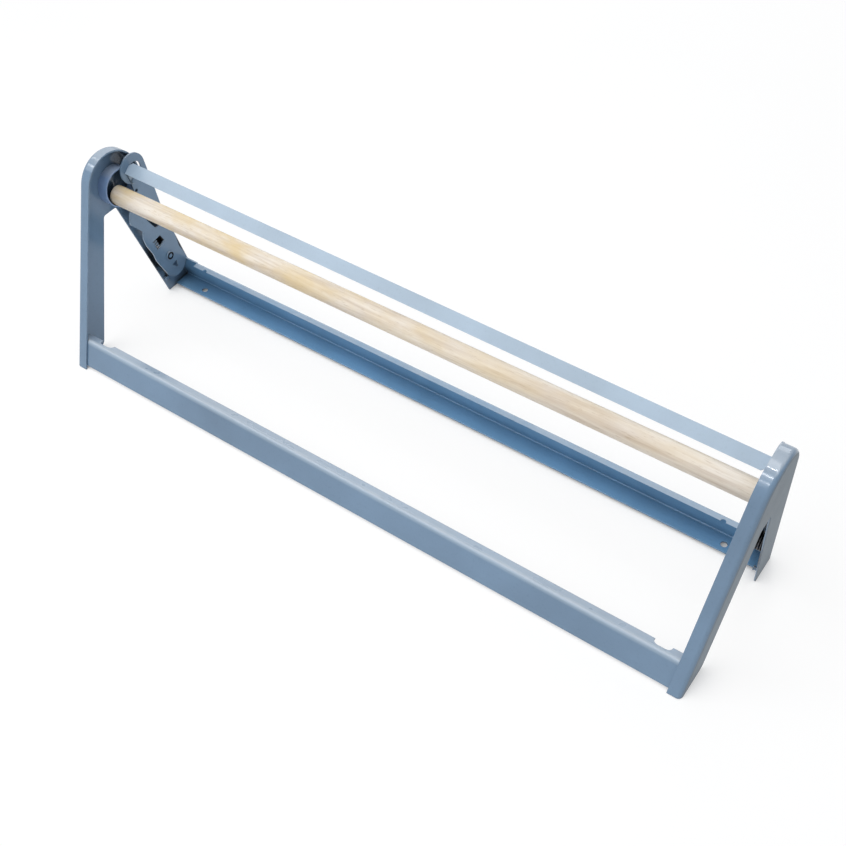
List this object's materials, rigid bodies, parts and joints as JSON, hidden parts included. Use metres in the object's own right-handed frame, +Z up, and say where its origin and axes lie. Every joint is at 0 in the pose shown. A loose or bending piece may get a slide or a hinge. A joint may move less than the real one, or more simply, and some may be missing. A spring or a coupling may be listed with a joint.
{
  "type": "gift wrap paper cutter",
  "caption": "Counter-top dispenser and cutter for a roll of wrapping paper: two folded A-shaped end frames, rails, a wooden rod and a sprung cutter bar on swinging arms.",
  "frame": {"origin": "centre of the bounding box in plan, on the plane the feet stand on", "axes": "+X to the right along the rod, +Y to the back, +Z up from the counter"},
  "size_m": [0.65, 0.1604, 0.183],
  "materials": {
    "enamel": "gloss",
    "bar_enamel": "gloss",
    "rod_wood": "satin",
    "bright_steel": "satin",
    "spring_steel": "satin"
  },
  "bodies": {
    "frame": {"left_end_frame": "enamel", "right_end_frame": "enamel", "front_rail": "enamel", "rear_rail": "enamel", "left_rod_cup": "enamel", "right_rod_cup": "enamel", "left_pivot_rivet": "enamel", "right_pivot_rivet": "enamel", "left_pivot_spacer": "bright_steel", "right_pivot_spacer": "bright_steel", "left_pivot_washer": "bright_steel", "right_pivot_washer": "bright_steel", "left_spring_anchor": "enamel", "right_spring_anchor": "enamel", "left_tension_spring": "spring_steel", "right_tension_spring": "spring_steel"},
    "cutter": {"cutter_bar": "bar_enamel", "left_cutter_arm": "enamel", "right_cutter_arm": "enamel", "left_bar_rivet": "enamel", "right_bar_rivet": "enamel"},
    "rod": {"wood_rod": "rod_wood"}
  },
  "joints": [
    {"name": "arm_swing", "type": "hinge", "parent": "frame", "child": "cutter", "pos_m": [0, 0.05135, 0.049], "axis": [-1, 0, 0], "range_deg": [0, 65], "stiffness_Nm_per_rad": 0.38, "springref_deg": -44.98, "deforming": ["left_tension_spring", "right_tension_spring"]},
    {"name": "rod_spin", "type": "hinge", "parent": "frame", "child": "rod", "pos_m": [0, 0.01866, 0.13836], "axis": [1, 0, 0], "continuous": true}
  ]
}
